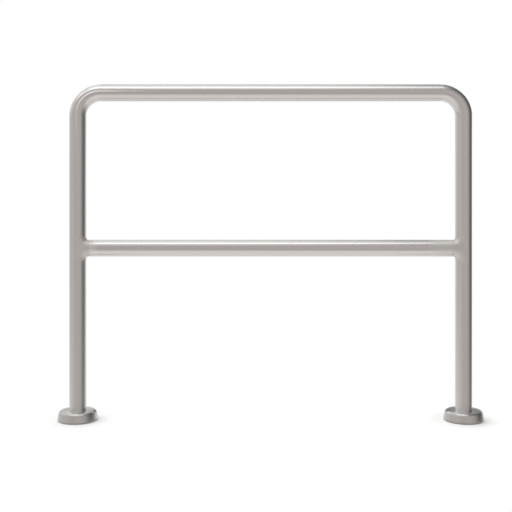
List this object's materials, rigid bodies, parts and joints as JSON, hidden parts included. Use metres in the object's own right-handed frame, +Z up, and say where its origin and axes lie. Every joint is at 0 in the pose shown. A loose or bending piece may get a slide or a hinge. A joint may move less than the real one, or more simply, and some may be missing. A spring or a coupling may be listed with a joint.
{
  "type": "handrail",
  "caption": "Floor-mounted hoop handrail of round stainless tube with a mid rail, welded elbows and bolted round feet under lift-up covers.",
  "frame": {"origin": "on the floor, midway between the two posts", "axes": "+X along the rails to the right post, +Y to the back, +Z up"},
  "size_m": [1.2688, 0.1188, 1.0003],
  "materials": {
    "satin_tube": "satin ground stainless steel",
    "dressed_weld": "ground and polished weld",
    "cut_plate": "laser-cut stainless plate",
    "raw_weld": "brushed fillet weld",
    "turned_cover": "turned and satin polished stainless steel",
    "black_rubber": "matt"
  },
  "bodies": {
    "frame": {"top_rail": "satin_tube", "left_elbow": "satin_tube", "right_elbow": "satin_tube", "left_post": "satin_tube", "right_post": "satin_tube", "mid_rail": "satin_tube", "left_rail_weld": "dressed_weld", "right_rail_weld": "dressed_weld", "left_post_weld": "dressed_weld", "right_post_weld": "dressed_weld", "left_saddle_weld": "dressed_weld", "right_saddle_weld": "dressed_weld", "left_base_plate": "cut_plate", "right_base_plate": "cut_plate", "left_base_weld": "raw_weld", "right_base_weld": "raw_weld"},
    "left_ring": {"left_cover_ring": "black_rubber"},
    "left_cover": {"left_base_cover": "turned_cover"},
    "right_ring": {"right_cover_ring": "black_rubber"},
    "right_cover": {"right_base_cover": "turned_cover"}
  },
  "joints": [
    {"name": "left_cover_lift", "type": "slide", "parent": "frame", "child": "left_ring", "axis": [0, 0, 1], "range_m": [0, 0.45]},
    {"name": "left_cover_turn", "type": "hinge", "parent": "left_ring", "child": "left_cover", "pos_m": [-0.575, 0, 0], "axis": [0, 0, 1], "continuous": true},
    {"name": "right_cover_lift", "type": "slide", "parent": "frame", "child": "right_ring", "axis": [0, 0, 1], "range_m": [0, 0.45]},
    {"name": "right_cover_turn", "type": "hinge", "parent": "right_ring", "child": "right_cover", "pos_m": [0.575, 0, 0], "axis": [0, 0, 1], "continuous": true}
  ]
}
